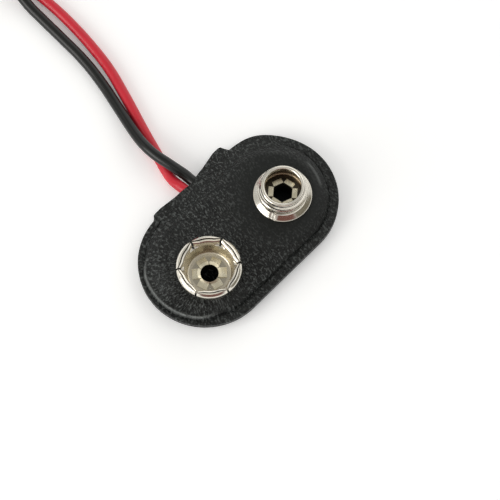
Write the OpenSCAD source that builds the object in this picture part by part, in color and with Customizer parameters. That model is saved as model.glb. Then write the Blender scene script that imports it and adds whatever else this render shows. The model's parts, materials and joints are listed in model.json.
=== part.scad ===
// Battery snap for a 9 V block: two terminals riveted to a card between two
// welded leatherette covers, with a red and a black lead.
// The terminals stand on the X axis, the leads leave towards +Y and the pad lies on z = 0.

/* [Terminals] */
// Distance between the centres of the two terminals
terminal_pitch = 12.7; // [12.5:0.1:13.5]
// Thickness of the terminals' sheet metal
sheet_t = 0.3; // [0.25:0.05:0.35]

/* [Stud] */
// Radius of the stud where the mating petals grip it
stud_r = 2.86; // [2.8:0.02:2.94]
// Height of the stud above the cover
stud_h = 2.9; // [2.7:0.1:3.2]
// Radius of the stud's foot flange
stud_flange_r = 3.38; // [3.2:0.02:3.6]
// Radius of the stud's open top
stud_mouth_r = 2.05; // [1.95:0.05:2.15]
// Radius of the rolled edge round the open top
stud_bead_r = 0.23; // [0.2:0.01:0.26]
// How much the neck draws in under the gripped land
stud_neck_in = 0.16; // [0.16:0.02:0.24]
// Height at which the foot's flare meets the neck
stud_flare_z = 0.75; // [0.65:0.05:0.9]
// Height of the gripped land's lower edge
stud_land_z = 1.4; // [1.2:0.1:1.5]
// Length of the gripped land
stud_land_l = 0.5; // [0.3:0.1:0.6]
// How much the shoulder draws in above the gripped land
stud_step_in = 0.16; // [0.16:0.02:0.24]
// Height of the shoulder's straight ring
stud_ring_h = 0.25; // [0.15:0.05:0.3]
// Height of the floor inside the stud
stud_floor_z = 0.65; // [0.55:0.05:0.75]

/* [Crown] */
// Largest radius of the crown, at the petals' curled skirts
crown_r = 3.68; // [3.6:0.02:3.8]
// Height of the crown above the cover
crown_h = 3.2; // [3:0.05:3.4]
// Radius of the crown's foot
crown_foot_r = 2.65; // [2.6:0.05:2.9]
// Radius between the petals where they grip a stud
crown_grip_r = 2.85; // [2.8:0.01:2.9]
// How far the flat of each lip stands inside the grip radius
crown_lip_in = 0.1; // [0.05:0.01:0.14]
// Radius of the curl over each petal's top
crown_curl_r = 0.3; // [0.26:0.02:0.34]
// Height of the curled skirts' lower edge
crown_skirt_z = 1.9; // [1.7:0.05:2]
// Height of the gripping lip's lower edge
crown_grip_z = 2.1; // [2.05:0.05:2.3]
// Depth of the gripping lip, below the funnel that leads the stud in
crown_lip_h = 0.4; // [0.3:0.05:0.5]
// Width of the slits between the petals
slit_w = 0.35; // [0.3:0.05:0.6]
// Height of the slits' lower end
slit_z = 1.6; // [1:0.1:1.8]
// Height of the floor inside the crown
crown_floor_z = 0.5; // [0.4:0.05:0.6]
// Turn of the first slit from the X axis
crown_turn = 17; // [0:1:60]

/* [Rivets] */
// Outer radius of the rivets' tube
rivet_r = 1.25; // [1.2:0.01:1.3]
// Radius of the rivets' bore
rivet_bore_r = 1.03; // [0.95:0.01:1.08]
// Radius of the rivets' heads under the card
rivet_head_r = 2.3; // [2:0.05:2.6]
// Thickness of the rivets' heads
rivet_head_t = 0.25; // [0.2:0.05:0.3]
// Thickness of the split petals
petal_t = 0.22; // [0.18:0.01:0.26]
// Length of the split petals in the stud
stud_petal_l = 0.58; // [0.4:0.02:0.7]
// Length of the split petals in the crown
crown_petal_l = 0.9; // [0.6:0.02:1.1]
// Gap between neighbouring split petals at the bore
petal_gap = 0.1; // [0.06:0.02:0.16]
// How far the petals' bent edges stand back from the bore
petal_back = 0.04; // [0.02:0.01:0.06]
// Turn of the first petal in the stud from the X axis
stud_petal_turn = 6; // [0:1:60]
// Turn of the first petal in the crown from the X axis
crown_petal_turn = 14; // [0:1:60]

/* [Covers] */
// Radius of the covers' round ends
cover_end_r = 7.7; // [7.5:0.1:8.4]
// Distance between the centres of the round ends
cover_span = 10.8; // [10.4:0.1:12]
// Thickness of the leatherette
cover_t = 0.45; // [0.35:0.05:0.55]
// Width of the welded rim round the raised field
rim_w = 1.1; // [0.8:0.1:1.3]
// Radius of the raised field's soft edge
field_edge_r = 0.7; // [0.6:0.05:0.9]
// Height of the weld between the covers above the underside
weld_z = 1.4; // [1.3:0.05:1.5]
// Turn of the covers on the terminals, as laid up
cover_turn = 3.8; // [0:0.2:6]
// Place of the covers' middle along the terminals' line
cover_x = 0.25; // [0:0.05:0.8]
// Place of the covers' middle towards the leads
cover_y = 1.35; // [1.2:0.05:1.7]
// Distance from the covers' middle to the far corner of each nub of the lead tab
tab_half = 5.6; // [5:0.1:6]
// Length of the nubs along the side
nub_l = 1.1; // [0.8:0.1:1.5]
// How far each nub's end slopes back to the straight side
nub_slope = 0.45; // [0.3:0.05:0.6]
// How far the nub on the stud's side stands out past the straight side
stud_nub_out = 1.05; // [0.6:0.05:1.2]
// How far the nub on the crown's side stands out past the straight side
crown_nub_out = 0.5; // [0.4:0.05:0.8]
// How far the middle of the tab's edge stands out past the straight side
tab_mid_out = 0.3; // [0.1:0.05:0.4]

/* [Inside] */
// Thickness of the card
card_t = 0.5; // [0.4:0.05:0.7]
// Free height under the card for rivet heads, solder and leads
inner_h = 1.5; // [1.4:0.05:1.7]
// Radius of the solder joints
solder_r = 0.6; // [0.5:0.02:0.66]

/* [Leads] */
// Outside diameter of the leads
lead_d = 1.3; // [1.2:0.05:1.35]
// Diameter of the stripped strands
strand_d = 0.5; // [0.4:0.02:0.6]
// Distance between the leads where they leave the covers
lead_pitch = 1.4; // [1.35:0.05:1.6]
// Length of the tinned far ends
tip_l = 4; // [3:0.5:6]
// Thickness of the tie's band
tie_t = 0.3; // [0.2:0.05:0.4]

/* [Hidden] */
$fn = 64;

// Clearances: rivet tube in its holes, leads in their channel, card in the covers
rivet_clear = 0.03;
lead_clear = 0.03;
card_clear = 0.3;
// Overshoot of cutting shapes
past = 0.1;

// Heights of the stack, from the underside up
card_z = cover_t + inner_h;
pad_t = card_z + card_t + cover_t;
head_z = card_z - rivet_head_t;

// The raised field and the hollow under it
field_r = cover_end_r - rim_w;
hollow_r = field_r - cover_t;

// A point of the covers' own plan, in the part's frame
function on_plan(p) = [cover_x + p[0] * cos(cover_turn) + p[1] * sin(cover_turn),
                       cover_y - p[0] * sin(cover_turn) + p[1] * cos(cover_turn)];
// The card's round ends clear the hollow's round ends
end_offset = max([for (s = [-1, 1]) norm(on_plan([s * cover_span / 2, 0]) - [s * terminal_pitch / 2, 0])]);
card_end_r = hollow_r - end_offset - card_clear;

// Routes of the leads, from the stripped end in the pad to the wound part
red_route = [[-3.55, 2.1, 1.2], [-2.35, 3, 1.2], [-1.25, 4.1, 1.2], [-0.4, 5.4, 1.2], [0, 6.8, 1.2],
             [0, 8.2, 1.2], [0, 9.6, 1.2], [0, 10.6, 1], [0.15, 11.6, 0.74], [0.6, 13, 0.65],
             [1.5, 15.3, 0.65], [2.4, 17.7, 0.65], [3.5, 20.4, 0.65], [4.7, 23.4, 0.65],
             [5.85, 26.6, 0.65], [6.65, 30, 0.65], [7.25, 33.7, 0.65], [7.55, 37, 0.65],
             [7.6, 39.6, 0.65], [7.55, 42, 0.7], [7.4, 44.4, 0.9], [7.3, 46, 0.95], [7.3, 47.4, 0.95]];
black_route = [[3.55, 2.1, 1.2], [2.75, 2.7, 1.2], [1.95, 3.7, 1.2], [1.5, 5, 1.2], [1.4, 6.5, 1.2],
               [1.4, 8, 1.2], [1.4, 9.6, 1.2], [1.35, 10.6, 1.45], [1.15, 11.6, 1.82], [0.95, 13, 2.05],
               [0.8, 14.4, 2.1], [0.85, 15.8, 2], [1.1, 17.2, 1.75], [1.5, 18.6, 1.45],
               [2.25, 20.8, 1.05], [3, 23, 0.75], [3.85, 25.7, 0.65], [4.7, 29.4, 0.65],
               [5.2, 33.8, 0.65], [5.5, 37, 0.65], [5.75, 39.6, 0.85], [6.2, 42, 1.6], [6.9, 44.4, 2.25],
               [7.3, 46, 2.25], [7.3, 47.4, 2.25]];
// The ring of both routes that lies at the covers' edge
exit_ring = 6;
lead_z = red_route[exit_ring][2];
exit_x = (red_route[exit_ring][0] + black_route[exit_ring][0]) / 2;

// The wound part: its first turn runs on straight from the routes' last ring
coil_turn_r = 8.3;
coil_inner_r = 4.6;
coil_lead_in = 5;
coil_outer_r = coil_turn_r + lead_d / 2;
function coil_centre(route) = route[len(route) - 1] + [coil_turn_r, coil_lead_in, 0];
// Inner end of the wound part: where it leaves the inner turn, radius and sweep of its bend, straight rest
coil_end_a = 86;
end_bend_r = 2.6;
end_bend_a = 100;
coil_end_l = 1;
// The tie: where it starts and how far it reaches round
tie_a = 300;
tie_sweep = 14;

// Places of the terminals: side -1 is the crown, side 1 the stud
module at_terminal(side, z) {
  translate([side * terminal_pitch / 2, 0, z]) children();
}

// The solder joint sits on the rivet head's ring, on the line to the lead's stripped end
function terminal_at(side) = [side * terminal_pitch / 2, 0, lead_z];
function lead_way(side, route) = (route[0] - terminal_at(side)) / norm(route[0] - terminal_at(side));
function solder_at(side, route) = terminal_at(side) + lead_way(side, route) * (rivet_bore_r + rivet_head_r) / 2;

// A bar of radius r from point a to point b
module bar(a, b, r) {
  d = b - a;
  translate(a) rotate([0, acos(d[2] / norm(d)), atan2(d[1], d[0])]) cylinder(r = r, h = norm(d));
}

// A lead swept along its route, with level rings of eight sides
function heading(p, i) = let (d = p[min(i + 1, len(p) - 1)] - p[max(i - 1, 0)]) d / norm(d);
function level_side(t) = let (s = cross(t, [0, 0, 1])) s / norm(s);
function ring(p, i, r, sides) =
  let (t = heading(p, i), s = level_side(t), u = cross(s, t))
  [for (k = [0 : sides - 1]) p[i] + r * (s * cos(360 * (k + 0.5) / sides) + u * sin(360 * (k + 0.5) / sides))];
module swept(p, r, sides = 8) {
  points = [for (i = [0 : len(p) - 1]) each ring(p, i, r, sides)];
  last = (len(p) - 1) * sides;
  walls = [for (i = [0 : len(p) - 2], k = [0 : sides - 1])
           let (a = i * sides + k, b = i * sides + (k + 1) % sides) [a, a + sides, b + sides, b]];
  start = [for (k = [0 : sides - 1]) k];
  end = [for (k = [sides - 1 : -1 : 0]) last + k];
  polyhedron(points, concat(walls, [start, end]), convexity = 6);
}

// Plan of the covers: two round ends, straight sides and the lead tab with its corner nubs
module long_round(r, span) {
  for (s = [-1, 1]) translate([s * span / 2, 0]) circle(r);
  square([span, 2 * r], center = true);
}
module cover_plan() {
  long_round(cover_end_r, cover_span);
  tab_half_plan(stud_nub_out);
  mirror([1, 0]) tab_half_plan(crown_nub_out);
}
module tab_half_plan(nub_out) {
  polygon([[0, 0], [tab_half + nub_slope, 0], [tab_half + nub_slope, cover_end_r - past],
           [tab_half, cover_end_r + nub_out], [tab_half - nub_l, cover_end_r + nub_out],
           [0, cover_end_r + tab_mid_out]]);
}

// A raised field with a soft edge
module field_profile(r, h, edge) {
  square([r - edge, h]);
  square([r, h - edge]);
  translate([r - edge, h - edge]) circle(edge);
}
module raised_field(r, h, edge) {
  for (s = [-1, 1])
    translate([s * cover_span / 2, 0, 0]) rotate([0, 0, -90 * s])
      rotate_extrude(angle = 180) field_profile(r, h, edge);
  rotate([90, 0, 90]) translate([0, 0, -cover_span / 2]) linear_extrude(cover_span) {
    field_profile(r, h, edge);
    mirror([1, 0]) field_profile(r, h, edge);
  }
}

// The passage of the two leads through the covers' edge
module lead_channel(r, z) {
  translate([exit_x, cover_end_r - rim_w, z]) rotate([-90, 0, 0]) linear_extrude(cover_end_r)
    long_round(r, lead_pitch);
}

// One formed cover standing on the weld, with its raised field h high
module cover_shell(h, channel_z) {
  difference() {
    union() {
      laid_up() {
        linear_extrude(cover_t) cover_plan();
        raised_field(field_r, h, field_edge_r);
      }
      intersection() {
        laid_up() linear_extrude(h) cover_plan();
        lead_channel(lead_d / 2 + lead_clear + cover_t, channel_z);
      }
    }
    laid_up() translate([0, 0, -past]) raised_field(hollow_r, h - cover_t + past, field_edge_r - cover_t);
    lead_channel(lead_d / 2 + lead_clear, channel_z);
  }
}
module laid_up() {
  translate([cover_x, cover_y, 0]) rotate([0, 0, -cover_turn]) children();
}
module rivet_holes(z, h) {
  for (side = [-1, 1]) at_terminal(side, z - past) cylinder(r = rivet_r + rivet_clear, h = h + 2 * past);
}

module top_cover() {
  color("#282a28") difference() {
    translate([0, 0, weld_z]) cover_shell(pad_t - weld_z, lead_z - weld_z);
    rivet_holes(pad_t - cover_t, cover_t);
  }
}

module bottom_cover() {
  color("#262826") translate([0, 0, weld_z]) mirror([0, 0, 1]) cover_shell(weld_z, weld_z - lead_z);
}

module insulator_card() {
  color("#7a5a3c") difference() {
    translate([0, 0, card_z]) linear_extrude(card_t) long_round(card_end_r, terminal_pitch);
    rivet_holes(card_z, card_t);
  }
}

// Hollow stud of drawn sheet: flared foot, neck, gripped land, shoulder ring and an edge rolled in at the top
module stud() {
  neck_r = stud_r - stud_neck_in;
  ring_r = stud_r - stud_step_in;
  land_top = stud_land_z + stud_land_l;
  ring_z = land_top + stud_step_in;
  ring_top = ring_z + stud_ring_h;
  bead = [stud_mouth_r + stud_bead_r, stud_h - stud_bead_r];
  hole_r = rivet_r + rivet_clear;
  color("#c9c4b4") at_terminal(1, pad_t) rotate_extrude() {
    difference() {
      polygon([[hole_r, 0], [stud_flange_r - sheet_t / 2, 0], [stud_flange_r - sheet_t / 2, sheet_t],
               [neck_r, stud_flare_z], [neck_r, stud_land_z - stud_neck_in], [stud_r, stud_land_z],
               [stud_r, land_top], [ring_r, ring_z], [ring_r, ring_top],
               [bead[0] + stud_bead_r, bead[1]], [bead[0], bead[1]], [hole_r, bead[1]]]);
      polygon([[0, stud_floor_z], [neck_r - sheet_t, stud_floor_z],
               [neck_r - sheet_t, stud_land_z - stud_neck_in], [stud_r - sheet_t, stud_land_z],
               [stud_r - sheet_t, land_top], [ring_r - sheet_t, ring_z], bead, [0, bead[1]]]);
      translate([0, -past]) square([neck_r - sheet_t, stud_floor_z - sheet_t + past]);
    }
    translate(bead) circle(stud_bead_r);
    translate([stud_flange_r - sheet_t / 2, sheet_t / 2]) circle(sheet_t / 2);
  }
}

// Crown of six spring petals: each rises from the floor, grips the stud and curls outwards over its top
module crown_profile() {
  curl = [crown_r - crown_curl_r, crown_h - crown_curl_r];
  hole_r = rivet_r + rivet_clear;
  flat_r = crown_grip_r - crown_lip_in;
  translate([hole_r, crown_floor_z - sheet_t]) square([crown_foot_r - hole_r - sheet_t / 2, sheet_t]);
  polygon([[crown_foot_r - sheet_t, 0], [crown_foot_r, 0], [crown_grip_r + sheet_t, crown_skirt_z],
           [crown_r, crown_skirt_z], [crown_r, curl[1]], curl, [curl[0], crown_h],
           [flat_r - past, crown_h], [flat_r - past, crown_grip_z], [crown_grip_r, crown_grip_z]]);
  translate(curl) circle(crown_curl_r);
}
module crown() {
  slits = 6;
  funnel_z = crown_grip_z + crown_lip_h;
  color("#c9c4b4") at_terminal(-1, pad_t) rotate([0, 0, crown_turn]) difference() {
    rotate_extrude() crown_profile();
    translate([0, 0, crown_grip_z - past])
      cylinder(r = (crown_grip_r - crown_lip_in) / cos(180 / slits), h = crown_h, $fn = slits);
    translate([0, 0, crown_grip_z - past]) cylinder(r = crown_grip_r, h = crown_h);
    translate([0, 0, funnel_z])
      cylinder(r1 = crown_grip_r, r2 = crown_r - crown_curl_r, h = crown_h - funnel_z);
    for (i = [0 : slits - 1]) rotate([0, 0, 360 / slits * i]) {
      translate([crown_r / 2, -slit_w / 2, slit_z + slit_w / 2]) cube([crown_r, slit_w, crown_h]);
      translate([crown_r / 2, 0, slit_z + slit_w / 2]) rotate([0, 90, 0])
        cylinder(r = slit_w / 2, h = crown_r);
    }
  }
}

// Tubular rivet: head under the card, tube, and an end split into six petals on the terminal's floor.
// Petals bent sharply have straight inner edges, petals that were rolled out keep the bore round.
module rivet(floor_z, petal_l, turn, sharp) {
  petals = 6;
  rest_z = pad_t + floor_z;
  edge_r = rivet_bore_r + petal_back;
  edge_w = 2 * edge_r * tan(180 / petals) - petal_gap;
  difference() {
    union() {
      rotate_extrude() {
        translate([0, head_z]) square([rivet_head_r, rivet_head_t]);
        translate([0, head_z]) square([rivet_r, rest_z + petal_t - head_z]);
      }
      for (i = [0 : petals - 1]) rotate([0, 0, turn + 360 / petals * i]) translate([0, 0, rest_z])
        linear_extrude(petal_t) translate([rivet_bore_r, -edge_w / 2]) square([petal_back + petal_l, edge_w]);
    }
    translate([0, 0, head_z - past]) cylinder(r = rivet_bore_r, h = rest_z);
    if (sharp) translate([0, 0, rest_z - petal_t]) rotate([0, 0, turn + 180 / petals])
      cylinder(r = edge_r / cos(180 / petals), h = 3 * petal_t, $fn = petals);
    for (i = [0 : petals - 1]) rotate([0, 0, turn + 360 / petals * (i + 0.5)])
      translate([0, -petal_gap / 2, rest_z - petal_t]) cube([rivet_r + petal_l, petal_gap, 3 * petal_t]);
  }
}
module stud_rivet() {
  color("#cdbf95") at_terminal(1, 0) rivet(stud_floor_z, stud_petal_l, stud_petal_turn, true);
}
module crown_rivet() {
  color("#cdbf95") at_terminal(-1, 0) rivet(crown_floor_z, crown_petal_l, crown_petal_turn, false);
}

// Stripped strands from the end of the lead's jacket into the solder
module strands(side, route) {
  bar(route[0], solder_at(side, route), strand_d / 2);
}
module red_strands() {
  color("#b87a4a") strands(-1, red_route);
}
module black_strands() {
  color("#b87a4a") strands(1, black_route);
}

// Solder joint under the rivet's head, round the strands
module solder(side, route) {
  p = solder_at(side, route);
  difference() {
    translate([p[0], p[1], 0]) union() {
      translate([0, 0, lead_z]) cylinder(r = solder_r, h = head_z - lead_z);
      translate([0, 0, lead_z]) rotate_extrude() intersection() {
        circle(solder_r);
        translate([0, -solder_r]) square(solder_r);
      }
    }
    strands(side, route);
  }
}
module red_solder() {
  color("#b9bcbf") solder(-1, red_route);
}
module black_solder() {
  color("#b9bcbf") solder(1, black_route);
}

module red_lead() {
  color("#d8323f") swept(red_route, lead_d / 2);
}
module black_lead() {
  color("#222423") swept(black_route, lead_d / 2);
}

// Wound part of a lead: a flat ring of its turns with a straight run in, and an inner end bent to the middle
module at_end_bend() {
  rotate([0, 0, coil_end_a]) translate([coil_inner_r + lead_d / 2 - end_bend_r, 0, 0])
    rotate([0, 0, -end_bend_a]) children();
}
module coil(route) {
  translate(coil_centre(route)) {
    rotate_extrude() {
      translate([coil_inner_r + lead_d / 2, -lead_d / 2])
        square([coil_outer_r - coil_inner_r - lead_d, lead_d]);
      for (r = [coil_inner_r + lead_d / 2, coil_turn_r]) translate([r, 0]) circle(lead_d / 2);
    }
    translate([-coil_turn_r, -coil_lead_in, 0]) rotate([-90, 0, 0]) cylinder(r = lead_d / 2, h = coil_lead_in);
    at_end_bend() {
      rotate_extrude(angle = end_bend_a) translate([end_bend_r, 0]) circle(lead_d / 2);
      translate([end_bend_r, 0, 0]) rotate([90, 0, 0]) cylinder(r = lead_d / 2, h = coil_end_l);
    }
  }
}
module red_coil() {
  color("#d8323f") coil(red_route);
}
module black_coil() {
  color("#222423") coil(black_route);
}

// Tinned far end of a lead
module tip(route) {
  translate(coil_centre(route)) at_end_bend()
    translate([end_bend_r, -coil_end_l, 0]) rotate([90, 0, 0]) cylinder(r = strand_d / 2, h = tip_l);
}
module red_tip() {
  color("#c2c2bd") tip(red_route);
}
module black_tip() {
  color("#c2c2bd") tip(black_route);
}

// Band round both wound parts
module coil_tie() {
  low = coil_centre(red_route)[2] - lead_d / 2;
  high = coil_centre(black_route)[2] + lead_d / 2;
  c = coil_centre(red_route);
  color("#303230") translate([c[0], c[1], 0]) rotate([0, 0, tie_a]) rotate_extrude(angle = tie_sweep)
    difference() {
      translate([coil_inner_r - tie_t, low - tie_t])
        square([coil_outer_r - coil_inner_r + 2 * tie_t, high - low + 2 * tie_t]);
      translate([coil_inner_r, low]) square([coil_outer_r - coil_inner_r, high - low]);
    }
}

top_cover();
bottom_cover();
insulator_card();
stud();
crown();
stud_rivet();
crown_rivet();
red_strands();
black_strands();
red_solder();
black_solder();
red_lead();
black_lead();
red_coil();
black_coil();
red_tip();
black_tip();
coil_tie();
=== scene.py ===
"""Dresses a 9 V battery snap: covers, plated terminals, split rivets, two leads and a studio."""

import json
import math
from functools import partial

import bmesh
import bpy
from bpy.props import FloatProperty, FloatVectorProperty, IntProperty, PointerProperty
from mathutils import Matrix, Vector, noise


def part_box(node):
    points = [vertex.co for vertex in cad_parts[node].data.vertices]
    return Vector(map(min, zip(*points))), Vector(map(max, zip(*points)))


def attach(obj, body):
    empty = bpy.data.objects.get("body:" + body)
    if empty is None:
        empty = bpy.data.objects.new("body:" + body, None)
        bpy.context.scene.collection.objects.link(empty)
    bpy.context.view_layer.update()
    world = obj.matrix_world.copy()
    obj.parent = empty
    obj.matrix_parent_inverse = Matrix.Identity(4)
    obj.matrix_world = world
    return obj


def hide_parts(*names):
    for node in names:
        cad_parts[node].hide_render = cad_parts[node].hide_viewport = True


bl_info = {
    "name": "Battery Snap",
    "version": (1, 0, 0),
    "blender": (4, 5, 0),
    "location": "3D View > Sidebar > Snap",
    "description": "Makes the covers, terminals, rivets, leads and studio of a battery snap",
    "category": "Object",
}

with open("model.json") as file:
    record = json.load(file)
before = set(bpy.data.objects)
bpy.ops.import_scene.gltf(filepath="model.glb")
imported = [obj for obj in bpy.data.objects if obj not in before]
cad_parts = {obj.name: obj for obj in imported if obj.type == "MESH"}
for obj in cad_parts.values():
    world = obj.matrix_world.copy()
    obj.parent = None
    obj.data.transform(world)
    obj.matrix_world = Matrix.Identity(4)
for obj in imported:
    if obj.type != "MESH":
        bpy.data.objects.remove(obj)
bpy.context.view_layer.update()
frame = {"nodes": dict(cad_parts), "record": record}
MM = 0.001


def mount_spot(name):
    """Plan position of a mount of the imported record."""
    found = next(m for m in frame["record"]["mounts"] if m["name"] == name)
    return Vector((*found["pos_m"][:2], 0))


def half_width(node):
    """Half of a round node's width."""
    low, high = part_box(node)
    return (high.x - low.x) / 2


# Places and sizes that the solids set
STUD_SPOT = mount_spot("stud_grip")
CROWN_SPOT = mount_spot("crown_grip")
PAD_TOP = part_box("stud")[0].z
WELD_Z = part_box("top_cover")[0].z
UP = Vector((0, 0, 1))
# Light of the room at the horizon
ROOM_SHADE = (0.62, 0.62, 0.61)
# Middle of the place beside the crown where the leatherette is painted lighter as a sheen
SHEEN_SPOT = Vector((-10.6, 3.7, 0)) * MM

# Routes of the leads in millimetres, from the stripped ends in the pad to the wound part
RED_ROUTE = [
    (-3.55, 2.1, 1.2), (-2.35, 3, 1.2), (-1.25, 4.1, 1.2), (-0.4, 5.4, 1.2), (0, 6.8, 1.2),
    (0, 8.2, 1.2), (0, 9.6, 1.2), (0, 10.6, 1), (0.15, 11.6, 0.74), (0.6, 13, 0.65),
    (1.5, 15.3, 0.65), (2.4, 17.7, 0.65), (3.5, 20.4, 0.65), (4.7, 23.4, 0.65),
    (5.85, 26.6, 0.65), (6.65, 30, 0.65), (7.25, 33.7, 0.65), (7.55, 37, 0.65),
    (7.6, 39.6, 0.65), (7.55, 42, 0.7), (7.4, 44.4, 0.9), (7.3, 46, 0.95), (7.3, 47.4, 0.95),
]
BLACK_ROUTE = [
    (3.55, 2.1, 1.2), (2.75, 2.7, 1.2), (1.95, 3.7, 1.2), (1.5, 5, 1.2), (1.4, 6.5, 1.2),
    (1.4, 8, 1.2), (1.4, 9.6, 1.2), (1.35, 10.6, 1.45), (1.15, 11.6, 1.82), (0.95, 13, 2.05),
    (0.8, 14.4, 2.1), (0.85, 15.8, 2), (1.1, 17.2, 1.75), (1.5, 18.6, 1.45),
    (2.25, 20.8, 1.05), (3, 23, 0.75), (3.85, 25.7, 0.65), (4.7, 29.4, 0.65),
    (5.2, 33.8, 0.65), (5.5, 37, 0.65), (5.75, 39.6, 0.85), (6.2, 42, 1.6), (6.9, 44.4, 2.25),
    (7.3, 46, 2.25), (7.3, 47.4, 2.25),
]
# The point of both routes that lies at the covers' edge
EXIT_POINT = 6

# Steps round the turned pieces
STUD_STEPS = 144
CROWN_STEPS = 192
RIVET_STEPS = 32
# Half size of the floor, and distance of the cards that the metal reflects, in metres
FLOOR_HALF = 1.5
CARD_DISTANCE = 0.42
# How far cutters reach past what they cut
PAST = 0.5 * MM
# Factor that lays a vector flat
FLAT = (1, 1, 0)
# Distance from the crown at which the grain that radiates from it has its size
SPOKE_RADIUS = 5 * MM


def length(default, about):
    """A size in millimetres as a property in metres."""
    return partial(FloatProperty, description=about, default=default * MM, unit="LENGTH", precision=5)


def angle(default, about):
    """An angle in degrees as a property in radians."""
    return partial(FloatProperty, description=about, default=math.radians(default), subtype="ANGLE")


def colour(default, about):
    """A colour property."""
    return partial(
        FloatVectorProperty, description=about, default=default, size=3, min=0, max=1, subtype="COLOR"
    )


def whole(default, least, about):
    """A whole number as a property."""
    return partial(IntProperty, description=about, default=default, min=least)


def named(group):
    """Makes a group's properties, each labelled with its attribute's name."""
    for key, make in group.__annotations__.items():
        group.__annotations__[key] = make(name=key.replace("_", " ").capitalize())
    return group


@named
class PadSettings(bpy.types.PropertyGroup):
    """Sizes and finish of the two covers"""

    end_radius: length(7.7, "Radius of the round ends")
    span: length(10.8, "Distance between the centres of the round ends")
    skin: length(0.45, "Thickness of the leatherette")
    rim: length(1.1, "Width of the welded rim")
    field_edge: length(0.7, "Radius of the raised field's soft edge")
    field_x: length(-0.16, "Place of the raised field along the covers")
    field_y: length(0.08, "Place of the raised field across the covers")
    crest: length(0.3, "Height of the pinched crest round the crown's end of the field")
    crown_push: length(0.4, "How far the field's edge stands out at the crown's end")
    slump: length(0.35, "How far the field sinks towards its edge")
    ease: length(1.6, "Width of the strip inside the field's edge that sinks or slopes")
    swell: length(0.25, "How far the outline swells behind the stud")
    turn: angle(-3.8, "Turn of the covers on the terminals")
    middle_x: length(0.25, "Place of the covers' middle along the terminals' line")
    middle_y: length(1.35, "Place of the covers' middle towards the leads")
    tab_half: length(5.6, "Distance from the middle to the far corner of each nub")
    nub_length: length(1.1, "Length of the nubs along the side")
    nub_slope: length(0.45, "How far each nub's end slopes back to the side")
    stud_nub: length(1.05, "How far that nub stands out past the straight side")
    crown_nub: length(0.5, "How far that nub stands out past the straight side")
    tab_out: length(0.05, "How far the middle of the tab stands out past the straight side")
    leather: colour((0.0062, 0.0079, 0.0071), "Colour of the leatherette")
    # Creases are lighter partly from wear and partly as painted glints
    worn: colour((0.083, 0.09, 0.087), "Colour of rubbed creases")
    # The pinched crest's colour is a painted highlight
    rubbed: colour((0.19, 0.2, 0.195), "Colour of the pinched crest")
    grain: length(0.37, "Size of the leatherette's pebbles")

    @property
    def field(self):
        """Radius of the raised field's round ends"""
        return self.end_radius - self.rim


@named
class StudSettings(bpy.types.PropertyGroup):
    """Section of the stud terminal"""

    neck: length(2.7, "Radius under the gripped land")
    flare: length(0.84, "Height at which the foot's flare meets the neck")
    land: length(2.86, "Radius of the gripped land")
    land_low: length(1.4, "Height of the gripped land's lower edge")
    land_high: length(1.9, "Height of the gripped land's upper edge")
    ring: length(2.7, "Radius of the ring above the land")
    ring_high: length(2.31, "Height of the ring's upper edge")
    mouth: length(2.05, "Radius of the open top")
    bead: length(0.23, "Radius of the rolled edge")
    floor: length(0.65, "Height of the floor inside")
    sheet: length(0.3, "Thickness of the sheet metal")
    nick_turn: angle(199, "Where the flare is nicked")
    nick_depth: length(0.11, "Depth of the nick")


@named
class CrownSettings(bpy.types.PropertyGroup):
    """Section and petals of the crown terminal"""

    foot: length(2.65, "Radius of the foot")
    grip: length(2.85, "Radius between the petals where they grip a stud")
    grip_z: length(2.1, "Height of the gripping lip's lower edge")
    curl: length(0.3, "Radius of the curl over each petal's top")
    skirt: length(1.9, "Height of the curled skirts' lower edge")
    crease: length(0.14, "Depth of the crease along the top of the curl")
    funnel_z: length(2.93, "Height at which the funnel meets the gripping lip")
    floor: length(0.5, "Height of the floor inside")
    sheet: length(0.3, "Thickness of the sheet metal")
    petals: whole(6, 3, "Number of spring petals")
    slit: length(0.22, "Width of the slits between the petals")
    slit_z: length(1.6, "Height of the slits' lower end")
    turn: angle(17, "Turn of the first slit from the X axis")
    edge: length(0.035, "Rounding of the sharp edges")


@named
class RivetSettings(bpy.types.PropertyGroup):
    """Sizes of the two split rivets"""

    tube: length(1.25, "Outer radius of the tube")
    play: length(0.03, "Play of the tube in its holes")
    bore: length(1.03, "Radius of the bore")
    head_t: length(0.25, "Thickness of the head under the card")
    petal_t: length(0.22, "Thickness of the split petals")
    stud_petal: length(0.58, "Length of the petals in the stud")
    crown_petal: length(0.9, "Length of the petals in the crown")
    taper: length(0.14, "How much thinner the petals in the crown are at their outer ends")
    gap: length(0.1, "Gap between neighbouring petals at the bore")
    split: length(0.21, "How far the gaps run down into the tube")
    back: length(0.04, "How far the bent edges stand back from the bore")
    stud_turn: angle(6, "Turn of the first petal in the stud")
    crown_turn: angle(14, "Turn of the first petal in the crown")
    petals: whole(6, 3, "Number of split petals")

    @property
    def hole(self):
        """Radius of the holes for the tubes"""
        return self.tube + self.play


@named
class LeadSettings(bpy.types.PropertyGroup):
    """Sizes and colours of the leads"""

    diameter: length(1.3, "Outside diameter of the leads")
    strands: length(0.5, "Diameter of the stripped strands")
    turn_radius: length(8.3, "Radius of the outer turn of the wound part")
    inner_radius: length(4.6, "Free radius inside the wound part")
    run_in: length(5, "Straight length before the first turn")
    end_angle: angle(86, "Where the inner end leaves the last turn")
    bend: length(2.6, "Radius of the inner end's bend")
    bend_sweep: angle(100, "Sweep of the inner end's bend")
    stub: length(1, "Straight length after the bend")
    tip: length(4, "Length of the tinned ends")
    real_length: length(155, "Length of a jacket from its stripped end in the pad")
    turns: whole(2, 1, "Whole turns of the wound part")
    tie: length(0.3, "Thickness of the tie's band")
    tie_angle: angle(300, "Where the tie starts")
    tie_sweep: angle(14, "How far the tie reaches round")
    red: colour((0.6, 0.021, 0.038), "Colour of the red jacket")
    black: colour((0.0055, 0.0065, 0.006), "Colour of the black jacket")


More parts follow.
